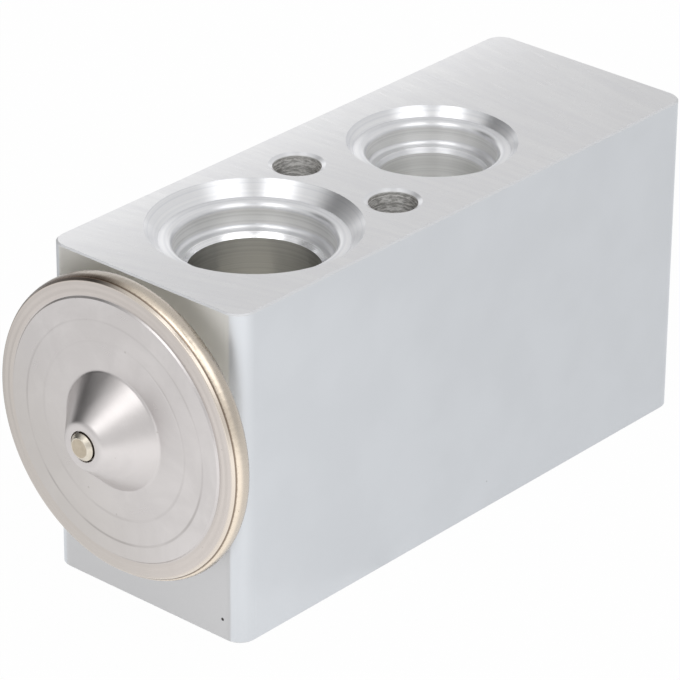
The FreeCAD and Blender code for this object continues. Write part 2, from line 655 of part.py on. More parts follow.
def damper_spring():
    """Flat ring behind the carrier flange, with bowed fingers that rub the chamber wall."""
    finger_outer = CHAMBER_RADIUS - RUNNING_CLEARANCE - DAMPER_FINGER_BOW
    finger_inner = finger_outer - DAMPER_SHEET
    finger_end = SPRING_START + DAMPER_FINGER_LENGTH
    finger_middle = (FLANGE_END + finger_end) / 2
    ring = turned([
        (FLANGE_END, SPIGOT_RADIUS + CONTACT_GAP, 0),
        (FLANGE_END, finger_outer, 0),
        (SPRING_START, finger_outer, 0),
        (SPRING_START, SPIGOT_RADIUS + CONTACT_GAP, 0),
    ])
    outer_start = beside_axis(FLANGE_END, finger_outer)
    outer_end = beside_axis(finger_end, finger_outer)
    inner_start = beside_axis(FLANGE_END, finger_inner)
    inner_end = beside_axis(finger_end, finger_inner)
    outer_bow = beside_axis(finger_middle, finger_outer + DAMPER_FINGER_BOW)
    inner_bow = beside_axis(finger_middle, finger_inner + DAMPER_FINGER_BOW)
    strip = turn_wire(Part.Wire([
        Part.Arc(outer_start, outer_bow, outer_end).toShape(),
        Part.LineSegment(outer_end, inner_end).toShape(),
        Part.Arc(inner_end, inner_bow, inner_start).toShape(),
        Part.LineSegment(inner_start, outer_start).toShape(),
    ]), DAMPER_FINGER_SWEEP)
    for index in range(DAMPER_FINGERS):
        angle = index * WHOLE_TURN / DAMPER_FINGERS - DAMPER_FINGER_SWEEP / 2
        ring = ring.fuse(turned_about_axis(strip, angle))
    return ring.removeSplitter()


def superheat_spring():
    """Coil spring between the carrier and the adjusting screw, ground flat at both ends."""
    pitch = SPRING_LENGTH / SPRING_TURNS
    helix = Part.makeHelix(pitch, SPRING_LENGTH, SPRING_MEAN_RADIUS)
    start = FreeCAD.Vector(SPRING_MEAN_RADIUS, 0, 0)
    section = Part.Wire(Part.makeCircle(SPRING_WIRE_RADIUS, start, FreeCAD.Vector(0, 1, 0)))
    coil = Part.Wire(helix.Edges).makePipeShell([section], True, True)
    coil.rotate(FreeCAD.Vector(0, 0, 0), FreeCAD.Vector(0, 1, 0), 90)
    coil.translate(FreeCAD.Vector(SPRING_START, 0, AXIS_Z))
    outer = SPRING_MEAN_RADIUS + 2 * SPRING_WIRE_RADIUS
    return coil.common(rod_along(SPRING_START, SPRING_END, outer))


def hex_socket():
    """Cutter for the key socket in the adjusting screw's outer end."""
    corner_angle = math.radians(WHOLE_TURN / HEX_CORNERS)
    corner_radius = HEX_SOCKET_FLATS / 2 / math.cos(corner_angle / 2)
    start = SCREW_END - HEX_SOCKET_DEPTH
    points = []
    for index in range(HEX_CORNERS):
        angle = corner_angle * index
        across = corner_radius * math.cos(angle)
        up = corner_radius * math.sin(angle)
        points.append(FreeCAD.Vector(start, across, AXIS_Z + up))
    outline = Part.makePolygon(points + [points[0]])
    prism = Part.Face(outline).extrude(FreeCAD.Vector(HEX_SOCKET_DEPTH, 0, 0))
    tip = drill_point_length(HEX_SOCKET_FLATS / 2)
    drill_end = turned([
        (start - tip, 0, 0),
        (start, HEX_SOCKET_FLATS / 2, 0),
        (start, 0, 0),
    ])
    return prism.fuse(drill_end)


def adjusting_screw():
    """Screw that seats the spring, with a seal ring groove and a key socket."""
    guide = CHAMBER_RADIUS - RUNNING_CLEARANCE
    groove = CHAMBER_RADIUS - SCREW_SEAL_SECTION
    spigot_front = SPRING_END - SPIGOT_LENGTH
    body = turned([
        (spigot_front, 0, 0),
        (spigot_front, SPIGOT_RADIUS - SPIGOT_CHAMFER, 0),
        (spigot_front + SPIGOT_CHAMFER, SPIGOT_RADIUS, 0),
        (SPRING_END, SPIGOT_RADIUS, 0),
        (SPRING_END, guide, SCREW_COLLAR_ROUNDING),
        (SEAL_GROOVE_START, guide, 0),
        (SEAL_GROOVE_START, groove, 0),
        (SEAL_GROOVE_END, groove, 0),
        (SEAL_GROOVE_END, guide, 0),
        (SCREW_THREAD_START, guide, 0),
        (SCREW_THREAD_START, SCREW_THREAD_RADIUS, SCREW_THREAD_ROUNDING),
        (SCREW_END - SCREW_END_CHAMFER, SCREW_THREAD_RADIUS, 0),
        (SCREW_END, SCREW_THREAD_RADIUS - SCREW_END_CHAMFER, 0),
        (SCREW_END, 0, 0),
    ])
    return body.cut(hex_socket())


def adjusting_screw_seal_ring():
    """Seal ring in the adjusting screw's groove."""
    section = SCREW_SEAL_SECTION / 2 - SEAL_CLEARANCE
    centre = SEAL_GROOVE_START + SCREW_SEAL_SECTION / 2
    return ring_on_axis(centre, CHAMBER_RADIUS - SCREW_SEAL_SECTION / 2, section)


PIECES = [
    valve_block,
    head_lower_cover,
    head_upper_cover,
    head_rim_weld,
    diaphragm,
    charge_plug,
    head_seal_ring,
    diaphragm_pad,
    sensing_stem,
    stem_sleeve,
    push_rod,
    rod_seal_ring,
    rod_seal_retainer,
    valve_ball,
    ball_carrier,
    damper_spring,
    superheat_spring,
    adjusting_screw,
    adjusting_screw_seal_ring,
]


def main():
    os.makedirs("parts", exist_ok=True)
    for piece in PIECES:
        shape = piece()
        shape.exportStep("parts/" + piece.__name__ + ".step")


main()
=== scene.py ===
import json
import math

import bpy
from mathutils import Matrix, Vector


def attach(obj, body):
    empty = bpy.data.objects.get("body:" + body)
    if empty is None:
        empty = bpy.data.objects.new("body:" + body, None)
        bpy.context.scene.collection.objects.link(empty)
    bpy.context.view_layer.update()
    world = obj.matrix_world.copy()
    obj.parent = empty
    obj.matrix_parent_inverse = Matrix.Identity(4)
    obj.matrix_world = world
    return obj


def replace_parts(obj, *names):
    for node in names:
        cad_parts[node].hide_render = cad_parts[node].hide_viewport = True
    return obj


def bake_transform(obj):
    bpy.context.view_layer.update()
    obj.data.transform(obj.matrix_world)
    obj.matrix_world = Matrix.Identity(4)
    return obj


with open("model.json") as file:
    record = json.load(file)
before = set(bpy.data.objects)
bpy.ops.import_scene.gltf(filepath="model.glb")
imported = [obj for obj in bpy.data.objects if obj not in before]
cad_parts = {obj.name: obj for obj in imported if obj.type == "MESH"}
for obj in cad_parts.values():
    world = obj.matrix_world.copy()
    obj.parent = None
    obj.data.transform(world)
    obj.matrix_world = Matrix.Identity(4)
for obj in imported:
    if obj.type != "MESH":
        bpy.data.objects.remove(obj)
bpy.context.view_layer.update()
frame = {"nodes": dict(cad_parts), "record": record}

nodes = frame["nodes"]

# The part's frame in millimetres: +X from the head to the adjusting screw, +Z out of the top face.
# The power axis runs along X through the head, the valve and the screw.
MM = 0.001
AXIS_Z = 23.5
BLOCK_MIDDLE = 20.0

# The block's cuts: centres in x and y, and the two radii between which their finish fades out. The
# recess for the adjusting screw lies on the power axis, and starts between two stations along X.
SUCTION = (-20.5, 0.0)
SUCTION_EDGE = (12.2, 12.4)
TOP_LIQUID = (9.3, 0.0)
BASE_LIQUID = (19.0, 0.0)
LIQUID_EDGE = (9.9, 10.1)
FIXING = (-5.7, 7.1)
FIXING_EDGE = (3.3, 3.4)
RECESS_EDGE = (7.7, 7.8)
RECESS_START = (24.0, 24.5)

# Heights above and below the block's middle at which its finish changes
BORES_START = (9.7, 9.8)
DEEP_WALLS_END = (15.0, 15.4)
COUNTERSINKS_START = (19.5, 19.8)
PORT_FACES_START = (19.94, 19.98)

# The block's finish: centre of the cutter's arcs, facing of a broken edge, the nick's y and z
ARC_CENTRE = (8.0, -150.0)
EDGE_FACING = 0.7071
NICK = (-11.35, 2.55)

# The head: stations along X, and radii about the power axis
NOSE_FRONT = -47.66
PLUG_SEAT = NOSE_FRONT + 0.6
CONE_INSIDE = -46.26
PIN_END = -45.46
COVER_FRONT = -43.0
WELD_FRONT = -42.4
COVER_INSIDE = -41.9
COVER_BACK = -41.6
WELD_BACK = -40.3
PIN_RADIUS = 0.6
PIN_HOLE_RADIUS = 0.62
PLUG_RADIUS = 1.6
POCKET_RADIUS = 1.76
HEAD_RADIUS = 17.3
WELD_CREST = 17.8
SCRIBED_RING = (12.4, 13.7)
SCRIBED_DROP = 0.27
ON_AXIS = 0.001


def linear(red, green, blue):
    """Linear colour of an sRGB colour given from 0 to 255."""
    out = []
    for value in (red, green, blue):
        share = value / 255.0
        out.append(share / 12.92 if share <= 0.04045 else ((share + 0.055) / 1.055) ** 2.4)
    return (out[0], out[1], out[2], 1.0)


class Shade:
    """A node material, built with short calls. Positions inside it are in millimetres."""

    def __init__(self, name):
        self.material = bpy.data.materials.new(name)
        self.material.use_nodes = True
        self.tree = self.material.node_tree
        self.tree.nodes.clear()
        output = self.tree.nodes.new("ShaderNodeOutputMaterial")
        self.shader = self.tree.nodes.new("ShaderNodeBsdfPrincipled")
        self.tree.links.new(self.shader.outputs["BSDF"], output.inputs["Surface"])
        coordinates = self.tree.nodes.new("ShaderNodeTexCoord")
        self.normal = coordinates.outputs["Normal"]
        scaled = self.tree.nodes.new("ShaderNodeVectorMath")
        scaled.operation = "SCALE"
        scaled.inputs["Scale"].default_value = 1.0 / MM
        self.tree.links.new(coordinates.outputs["Object"], scaled.inputs[0])
        self.place = scaled.outputs[0]
        parts = self.tree.nodes.new("ShaderNodeSeparateXYZ")
        self.tree.links.new(self.place, parts.inputs[0])
        self.x, self.y, self.z = parts.outputs

    def put(self, socket, value):
        """Socket fed by another socket, or set to a constant."""
        if isinstance(value, bpy.types.NodeSocket):
            self.tree.links.new(value, socket)
        else:
            socket.default_value = value

    def maths(self, operation, first, second=0.0):
        node = self.tree.nodes.new("ShaderNodeMath")
        node.operation = operation
        self.put(node.inputs[0], first)
        self.put(node.inputs[1], second)
        return node.outputs[0]

    def add(self, first, second):
        return self.maths("ADD", first, second)

    def less(self, first, second):
        return self.maths("SUBTRACT", first, second)

    def times(self, first, second):
        return self.maths("MULTIPLY", first, second)

    def swing(self, level, size):
        """Level of 0 to 1 turned into a swing of that size about nothing."""
        return self.times(self.less(level, 0.5), size)

    def ramp(self, value, low, high, out_low=0.0, out_high=1.0):
        """Value mapped smoothly from low..high to out_low..out_high, held at the ends."""
        node = self.tree.nodes.new("ShaderNodeMapRange")
        node.interpolation_type = "SMOOTHSTEP"
        node.clamp = True
        self.put(node.inputs["Value"], value)
        self.put(node.inputs["From Min"], low)
        self.put(node.inputs["From Max"], high)
        self.put(node.inputs["To Min"], out_low)
        self.put(node.inputs["To Max"], out_high)
        return node.outputs["Result"]

    def band(self, value, centre, half, soft):
        """One where value is within half of centre, falling to nothing over soft."""
        away = self.maths("ABSOLUTE", self.less(value, centre))
        return self.ramp(away, half, half + soft, 1.0, 0.0)

    def vector(self, x, y, z):
        node = self.tree.nodes.new("ShaderNodeCombineXYZ")
        for socket, value in zip(node.inputs, (x, y, z)):
            self.put(socket, value)
        return node.outputs[0]

    def stretched(self, x, y, z):
        """The place with each coordinate scaled, to draw a noise out along the least scaled."""
        return self.vector(self.times(self.x, x), self.times(self.y, y), self.times(self.z, z))

    def radius(self, first, second, centre=(0.0, 0.0)):
        """Distance of the point (first, second) from a centre."""
        away = self.vector(self.less(first, centre[0]), self.less(second, centre[1]), 0.0)
        node = self.tree.nodes.new("ShaderNodeVectorMath")
        node.operation = "LENGTH"
        self.put(node.inputs[0], away)
        return node.outputs["Value"]

    def noise(self, vector, scale, detail, roughness, distortion=0.0):
        """Smooth noise of 0 to 1, with its scale in cycles per unit of the vector."""
        node = self.tree.nodes.new("ShaderNodeTexNoise")
        self.put(node.inputs["Vector"], vector)
        node.inputs["Scale"].default_value = scale
        node.inputs["Detail"].default_value = detail
        node.inputs["Roughness"].default_value = roughness
        node.inputs["Distortion"].default_value = distortion
        return node.outputs["Fac"]

    def cells(self, vector, scale):
        """Distance to the nearest of scattered points, in parts of their usual spacing."""
        node = self.tree.nodes.new("ShaderNodeTexVoronoi")
        self.put(node.inputs["Vector"], vector)
        node.inputs["Scale"].default_value = scale
        return node.outputs["Distance"]

    def mix(self, factor, first, second):
        node = self.tree.nodes.new("ShaderNodeMix")
        node.data_type = "FLOAT"
        self.put(node.inputs[0], factor)
        self.put(node.inputs[2], first)
        self.put(node.inputs[3], second)
        return node.outputs[0]

    def tint(self, factor, first, second):
        """Mix of two colours, or of two directions."""
        node = self.tree.nodes.new("ShaderNodeMix")
        node.data_type = "RGBA"
        self.put(node.inputs[0], factor)
        self.put(node.inputs[6], first)
        self.put(node.inputs[7], second)
        return node.outputs[2]

    def bump(self, height, distance, strength, below=None):
        """Bump from a height of 0 to 1 over a distance in millimetres, laid on the one below it."""
        node = self.tree.nodes.new("ShaderNodeBump")
        node.inputs["Distance"].default_value = distance * MM
        self.put(node.inputs["Strength"], strength)
        self.put(node.inputs["Height"], height)
        if below is not None:
            self.put(node.inputs["Normal"], below)
        return node.outputs["Normal"]

    def tilted(self, below, direction, amount):
        """Normal leaned along a direction by a slope, for marks finer than a bump can follow."""
        lean = self.tree.nodes.new("ShaderNodeVectorMath")
        lean.operation = "SCALE"
        self.put(lean.inputs[0], direction)
        self.put(lean.inputs["Scale"], amount)
        total = self.tree.nodes.new("ShaderNodeVectorMath")
        total.operation = "ADD"
        self.put(total.inputs[0], below)
        self.put(total.inputs[1], lean.outputs[0])
        unit = self.tree.nodes.new("ShaderNodeVectorMath")
        unit.operation = "NORMALIZE"
        self.put(unit.inputs[0], total.outputs[0])
        return unit.outputs[0]

    def finish(self, colour, roughness, metallic, normal, tangent=None, **constants):
        """Material with its shader fed. The constants are set on the shader's own sockets."""
        self.put(self.shader.inputs["Base Color"], colour)
        self.put(self.shader.inputs["Roughness"], roughness)
        self.shader.inputs["Metallic"].default_value = metallic
        self.put(self.shader.inputs["Normal"], normal)
        if tangent is not None:
            self.put(self.shader.inputs["Tangent"], tangent)
        for name, value in constants.items():
            self.shader.inputs[name.replace("_", " ")].default_value = value
        return self.material


def block_aluminium():
    """Fly-cut port faces, turned ports and satin sides, told apart by place and facing."""
    s = Shade("block_aluminium")
    facing = s.tree.nodes.new("ShaderNodeSeparateXYZ")
    s.put(facing.inputs[0], s.normal)
    upright = s.maths("ABSOLUTE", facing.outputs[2])
    from_middle = s.maths("ABSOLUTE", s.less(s.z, BLOCK_MIDDLE))
    milled = s.times(s.ramp(upright, 0.93, 0.97), s.ramp(from_middle, *PORT_FACES_START))

    # Which cut a point lies in, and its distance from that cut's centre
    top_half = s.ramp(s.z, BLOCK_MIDDLE - 0.5, BLOCK_MIDDLE + 0.5)
    suction_r = s.radius(s.x, s.y, SUCTION)
    liquid_x = s.mix(top_half, BASE_LIQUID[0], TOP_LIQUID[0])
    liquid_r = s.radius(s.less(s.x, liquid_x), s.y)
    fixing_r = s.radius(s.x, s.maths("ABSOLUTE", s.y), FIXING)
    power_r = s.radius(s.y, s.less(s.z, AXIS_Z))
    in_suction = s.ramp(suction_r, *SUCTION_EDGE, 1.0, 0.0)
    in_liquid = s.ramp(liquid_r, *LIQUID_EDGE, 1.0, 0.0)
    in_fixing = s.ramp(fixing_r, *FIXING_EDGE, 1.0, 0.0)
    in_power = s.times(s.ramp(power_r, *RECESS_EDGE, 1.0, 0.0), s.ramp(s.x, *RECESS_START))
    in_port = s.maths("MAXIMUM", in_suction, in_liquid)
    in_any = s.maths("MAXIMUM", in_port, s.maths("MAXIMUM", in_fixing, in_power))
    turned = s.times(in_any, s.less(1.0, milled))
    plain = s.less(1.0, turned)
    ring_r = s.mix(in_liquid, s.mix(in_power, fixing_r, power_r), liquid_r)
    ring_r = s.mix(in_suction, ring_r, suction_r)
    rings = s.vector(ring_r, s.mix(in_power, s.z, s.x), 0.0)

    # Fly-cutter strokes: shallow arcs across the width, shifted along the block
    stroke_r = s.radius(s.x, s.y, ARC_CENTRE)
    bearing = s.maths("ARCTAN2", s.less(s.x, ARC_CENTRE[0]), s.less(s.y, ARC_CENTRE[1]))
    stroke = s.vector(s.times(bearing, -ARC_CENTRE[1]), s.times(stroke_r, 0.035), 0.0)
    strokes = s.noise(stroke, 8.0, 3.0, 0.7)
    broad = s.noise(stroke, 1.1, 2.0, 0.5)
    turning = s.noise(rings, 45.0, 1.0, 0.5)
    feed = s.noise(rings, 3.2, 3.0, 0.7)
    chatter = s.noise(s.stretched(0.9, 0.9, 5.0), 1.4, 3.0, 0.7)
    drawn = s.noise(s.stretched(3.0, 3.0, 0.05), 2.6, 3.0, 0.6)
    mottle = s.noise(s.place, 0.12, 2.0, 0.5)
    fine = s.noise(s.place, 9.0, 3.0, 0.7)
    pits = s.ramp(s.cells(s.place, 0.11), 0.0, 0.012, 1.0, 0.0)

    # Ports and holes: the round walls by depth, and streaks in the fixing holes
    bored = s.ramp(upright, 0.05, 0.2, 1.0, 0.0)
    sunk = s.ramp(from_middle, *DEEP_WALLS_END, 1.0, 0.0)
    drawn_out = s.ramp(feed, 0.35, 0.65)
    dim = s.tint(drawn_out, linear(208, 207, 203), linear(223, 222, 218))
    pale = s.tint(drawn_out, linear(234, 234, 232), linear(247, 247, 245))
    bore = s.tint(drawn_out, linear(231, 231, 230), linear(246, 246, 245))
    colour_port = s.tint(s.ramp(feed, 0.3, 0.75), linear(225, 226, 229), linear(241, 241, 242))
    colour_port = s.tint(bored, colour_port, s.tint(sunk, bore, s.tint(in_liquid, dim, pale)))
    streaks = s.ramp(s.mix(0.6, feed, chatter), 0.42, 0.58)
    colour_hole = s.tint(streaks, linear(180, 178, 175), linear(252, 251, 249))
    in_hole = s.times(in_fixing, s.ramp(from_middle, *COUNTERSINKS_START, 1.0, 0.0))
    colour_port = s.tint(in_hole, colour_port, colour_hole)

    # Sides and ends, with the nick and the broken edges; near the head the end face is paler as
    # painted light in the head's shade
    end_face = s.times(s.ramp(s.maths("ABSOLUTE", facing.outputs[0]), 0.95, 0.99), plain)
    broken = s.times(s.band(upright, EDGE_FACING, 0.1, 0.1), plain)
    colour_side = s.tint(s.ramp(mottle, 0.3, 0.7), linear(212, 215, 219), linear(216, 219, 223))
    colour_side = s.tint(end_face, colour_side, linear(222, 222, 223))
    # Painted light: the end face lightens near the head
    painted_light_near_head = s.times(s.ramp(power_r, 17.0, 27.0, 1.0, 0.0), s.ramp(s.z, 10.0, 24.0))
    colour_side = s.tint(s.times(end_face, painted_light_near_head), colour_side, linear(240, 239, 235))
    nick = s.times(end_face, s.ramp(s.radius(s.y, s.z, NICK), 0.14, 0.23, 1.0, 0.0))
    nick = s.times(nick, s.ramp(s.x, -38.0, -37.0, 0.95, 0.0))
    colour_side = s.tint(nick, colour_side, linear(54, 50, 47))
    colour_side = s.tint(broken, colour_side, linear(214, 215, 217))

    colour_top = s.tint(s.ramp(broad, 0.3, 0.7), linear(228, 228, 230), linear(232, 232, 233))
    colour = s.tint(milled, colour_side, colour_top)
    colour = s.tint(turned, colour, colour_port)
    colour = s.tint(pits, colour, linear(70, 66, 62))

    rough_side = s.add(s.ramp(mottle, 0.3, 0.7, 0.40, 0.43), s.swing(fine, 0.03))
    rough_side = s.mix(end_face, rough_side, 0.75)
    rough_side = s.mix(broken, rough_side, 0.50)
    rough_top = s.add(s.ramp(strokes, 0.3, 0.7, 0.36, 0.27), s.swing(fine, 0.04))
    wall = s.ramp(upright, 0.2, 0.6, 0.20, 0.0)
    deep = s.times(s.times(turned, sunk), s.mix(in_liquid, 0.19, -0.04))
    rough_port = s.add(s.ramp(feed, 0.3, 0.7, 0.33, 0.29), s.less(wall, deep))
    rough = s.mix(milled, rough_side, rough_top)
    rough = s.mix(turned, rough, rough_port)

    # True normals of the round walls, free of the mesh's facets
    mirrored = s.maths("SIGN", s.y)
    away_x = s.less(s.x, s.mix(in_suction, s.mix(in_fixing, liquid_x, FIXING[0]), SUCTION[0]))
    away_y = s.mix(in_fixing, s.y, s.less(s.y, s.times(mirrored, FIXING[1])))
    level = s.maths("SQRT", s.maths("MAXIMUM", s.less(1.0, s.times(upright, upright)), 0.0))
    inward = s.maths("DIVIDE", s.times(level, -1.0), s.maths("MAXIMUM", ring_r, 0.1))
    round_normal = s.vector(s.times(away_x, inward), s.times(away_y, inward), facing.outputs[2])
    round_wall = s.times(s.times(turned, s.less(1.0, in_power)), s.ramp(from_middle, *BORES_START))
    true_normal = s.tint(round_wall, s.normal, round_normal)

    side_height = s.add(s.times(fine, 0.4), s.times(drawn, 0.6))
    side_bump = s.bump(side_height, 0.004, 0.5, true_normal)
    top_height = s.add(s.times(strokes, 0.8), s.times(fine, 0.2))
    top_bump = s.bump(top_height, 0.012, milled, side_bump)
    drilled = s.times(in_fixing, s.ramp(s.noise(s.place, 0.5, 2.0, 0.5), 0.35, 0.65, 0.3, 1.0))
    torn = s.mix(s.times(in_fixing, 0.6), feed, chatter)
    torn_depth = s.times(turned, s.add(s.times(drilled, 0.9), 0.05))
    feed_bump = s.bump(torn, 0.025, torn_depth, top_bump)
    along = s.vector(in_power, 0.0, s.less(1.0, in_power))
    lean = s.times(s.times(s.less(turning, 0.5), turned), 0.35)
    normal = s.tilted(feed_bump, along, lean)

    # Machining runs round each port, across the port faces and up the sides
    round_bore = s.vector(s.times(away_y, -1.0), away_x, 0.0)
    round_axis = s.vector(0.0, s.less(AXIS_Z, s.z), s.y)
    marks = s.tint(milled, (0.0, 0.0, 1.0, 1.0), (0.0, 1.0, 0.0, 1.0))
    marks = s.tint(turned, marks, s.tint(in_power, round_bore, round_axis))
    return s.finish(colour, rough, 1.0, normal, marks,
                    Anisotropic=0.85, Anisotropic_Rotation=0.25)


def cover_steel():
    """Pressed stainless sheet with faint circular lines and a warm, slightly stained tone."""
    s = Shade("head_steel")
    up = s.less(s.z, AXIS_Z)
    r = s.radius(s.y, up)
    around = s.maths("ARCTAN2", s.y, up)
    rings = s.noise(s.vector(r, s.x, s.times(around, 0.15)), 4.5, 3.0, 0.7)
    stain = s.noise(s.place, 0.16, 4.0, 0.6, 0.6)
    grain = s.noise(s.place, 6.0, 3.0, 0.7)
    rolled = s.noise(s.stretched(2.0, 2.2, 0.12), 1.6, 3.0, 0.65)

    # Flange and rim: the rim's pale warm band is partly the weld's heat tint and partly painted
    # highlight, with painted shade towards the lower left and a painted dark reflection on the
    # rim's edge at the upper left
    warm_rim = s.ramp(r, 16.8, 17.2)
    painted_shade_lower_left = s.ramp(s.less(s.times(s.y, 0.7), s.times(up, 0.7)), 0.0, 15.0)
    # The upper left, where the rim carries a painted dark reflection
    painted_dark_upper_left = s.ramp(s.add(s.times(s.y, 0.8), s.times(up, 0.45)), 5.0, 11.0)
    colour = s.tint(s.ramp(stain, 0.35, 0.7), linear(200, 196, 195), linear(209, 205, 204))
    colour = s.tint(s.ramp(r, 15.25, 15.5, 0.0, 0.5), colour, linear(200, 190, 181))
    # Painted shade: the cover darkens towards its lower left
    colour = s.tint(s.times(painted_shade_lower_left, 0.5), colour, linear(186, 181, 175))
    # The rim's warm band: the weld's heat tint, lightened as a painted highlight, and weaker at the
    # lower left
    warm = s.times(warm_rim, s.less(0.6, s.times(painted_shade_lower_left, 0.4)))
    colour = s.tint(warm, colour, linear(230, 218, 202))
    # Painted dark reflection: the rim's edge turns nearly black at the upper left
    painted_dark_rim_reflection = s.times(s.ramp(r, 16.95, 17.15), s.times(painted_dark_upper_left, 0.9))
    colour = s.tint(painted_dark_rim_reflection, colour, linear(72, 58, 50))
    colour = s.tint(s.ramp(s.x, -42.47, -42.42, 0.0, 0.7), colour, linear(110, 90, 74))

    # Scribed ring, a fainter one inside it, and specks
    scribed = s.band(s.radius(s.y, s.add(up, SCRIBED_DROP)), 13.03, 0.03, 0.20)
    faint = s.times(s.band(s.radius(s.y, s.add(up, -0.1)), 10.45, 0.05, 0.2), 0.35)
    line = s.maths("MAXIMUM", scribed, faint)
    lower = s.ramp(up, -9.0, 6.0, 1.0, 0.35)
    waver = s.ramp(s.noise(s.vector(around, 0.0, 0.0), 1.2, 2.0, 0.5), 0.4, 0.6, 0.2, 1.0)
    drawn = s.times(s.times(line, lower), s.times(waver, 0.5))
    colour = s.tint(drawn, colour, linear(140, 135, 132))
    specks = s.ramp(s.cells(s.place, 0.35), 0.03, 0.06, 0.35, 0.0)
    colour = s.tint(specks, colour, linear(150, 144, 138))

    # The sheet's edge behind the weld, paler as painted light in the shaded gap before the block,
    # and the cone
    behind = s.ramp(s.x, -41.75, COVER_BACK)
    before = s.less(1.0, behind)
    # Painted light: behind the weld the steel is paler
    colour = s.tint(behind, colour, linear(232, 229, 224))
    rim = s.times(s.ramp(r, 16.9, 17.1), before)
    cone = s.times(s.ramp(r, 6.6, 7.0, 1.0, 0.0), before)
    colour = s.tint(s.times(cone, 0.2), colour, linear(216, 211, 210))

    rough = s.add(s.ramp(stain, 0.3, 0.7, 0.28, 0.35), s.swing(rings, 0.08))
    change = s.less(s.times(cone, 0.05), s.times(rim, 0.08))
    rough = s.add(rough, s.add(s.times(behind, 0.25), change))
    height = s.add(s.times(rings, 0.45), s.add(s.times(grain, 0.25), s.times(rolled, 0.3)))
    return s.finish(colour, rough, 1.0, s.bump(height, 0.010, 0.8))


def weld_steel():
    """Weld bead, beige to brown with heat, over overlapping scales, and a painted dark reflection
    at the top left.
    """
    s = Shade("weld_steel")
    up = s.less(s.z, AXIS_Z)
    around = s.maths("ARCTAN2", s.y, up)
    scales = s.vector(s.times(around, 30.0), s.times(s.x, 1.2), 0.0)
    scales = s.noise(scales, 1.5, 2.0, 0.5)
    specks = s.vector(s.times(around, 40.0), s.times(s.x, 3.0), 0.0)
    specks = s.noise(specks, 1.3, 2.0, 0.6)
    heat = s.noise(s.vector(s.times(s.y, 0.09), s.times(up, 0.09), 0.0), 1.0, 3.0, 0.6)
    painted_dark_top_left = s.ramp(s.add(s.times(s.y, 0.8), s.times(up, 0.45)), 4.0, 10.0)
    beige = s.tint(scales, linear(222, 209, 192), linear(240, 227, 210))
    brown = s.tint(scales, linear(64, 52, 44), linear(90, 75, 63))
    colour = s.tint(s.ramp(heat, 0.45, 0.75, 0.0, 0.3), beige, brown)
    # Painted dark reflection: the bead turns brown-black at the top left
    colour = s.tint(s.times(painted_dark_top_left, 0.92), colour, brown)
    colour = s.tint(s.ramp(specks, 0.68, 0.76, 0.0, 0.5), colour, linear(92, 78, 66))
    seam = s.ramp(s.add(s.x, s.swing(specks, 0.10)), -42.35, -42.22, 1.0, 0.0)
    colour = s.tint(s.times(seam, 0.8), colour, linear(92, 72, 56))
    back = s.ramp(s.x, -42.05, COVER_BACK)
    colour = s.tint(s.times(back, 0.75), colour, linear(186, 178, 168))
    rough = s.ramp(scales, 0.2, 0.8, 0.24, 0.33)
    return s.finish(colour, rough, 1.0, s.bump(scales, 0.012, 0.8))


def plug_steel():
    """Dull ground face with turning rings, a brighter bevel, and painted shade on its side down in
    the pocket.
    """
    s = Shade("plug_steel")
    r = s.radius(s.y, s.less(s.z, AXIS_Z))
    rings = s.noise(s.vector(r, s.x, 0.0), 9.0, 2.0, 0.6)
    stain = s.noise(s.place, 1.3, 3.0, 0.6)
    face = s.ramp(r, 1.04, 1.12, 1.0, 0.0)
    stained = s.ramp(stain, 0.3, 0.7)
    bright = s.tint(stained, linear(206, 198, 184), linear(218, 211, 198))
    dull = s.tint(stained, linear(180, 169, 151), linear(197, 186, 169))
    # Painted shade: the plug's side within its pocket is darker
    deep = s.ramp(s.x, -47.75, -47.6)
    colour = s.tint(deep, s.tint(face, bright, dull), linear(170, 160, 146))
    rough = s.mix(face, 0.33, s.ramp(stain, 0.3, 0.7, 0.36, 0.46))
    return s.finish(colour, rough, 1.0, s.bump(rings, 0.004, 0.8))


def turned_metal(name, dark, light, rough, pitch=7.0, depth=0.010):
    """Metal turned about the power axis, with fine rings and a little tarnish."""
    s = Shade(name)
    r = s.radius(s.y, s.less(s.z, AXIS_Z))
    rings = s.noise(s.vector(r, s.x, 0.0), pitch, 3.0, 0.65)
    tarnish = s.noise(s.place, 0.8, 3.0, 0.6)
    fine = s.noise(s.place, 11.0, 2.0, 0.6)
    colour = s.tint(s.ramp(tarnish, 0.3, 0.7), linear(*dark), linear(*light))
    roughness = s.ramp(rings, 0.3, 0.7, rough - 0.04, rough + 0.05)
    roughness = s.add(roughness, s.swing(fine, 0.05))
    return s.finish(colour, roughness, 1.0, s.bump(rings, depth, 0.8))


def seal_rubber():
    """Smooth moulded rubber with a light bloom."""
    s = Shade("seal_rubber")
    bloom = s.noise(s.place, 1.1, 3.0, 0.6)
    grain = s.noise(s.place, 14.0, 2.0, 0.6)
    colour = s.tint(s.ramp(bloom, 0.35, 0.75), linear(28, 44, 36), linear(46, 62, 54))
    return s.finish(colour, s.ramp(bloom, 0.3, 0.7, 0.45, 0.60), 0.0, s.bump(grain, 0.006, 0.6))


def sleeve_plastic():
    """Natural moulded plastic, faintly marbled."""
    s = Shade("sleeve_plastic")
    marble = s.noise(s.place, 0.6, 3.0, 0.6, 0.4)
    grain = s.noise(s.place, 10.0, 2.0, 0.6)
    colour = s.tint(s.ramp(marble, 0.35, 0.7), linear(226, 222, 208), linear(238, 235, 224))
    return s.finish(colour, s.ramp(marble, 0.3, 0.7, 0.42, 0.52), 0.0, s.bump(grain, 0.006, 0.5))


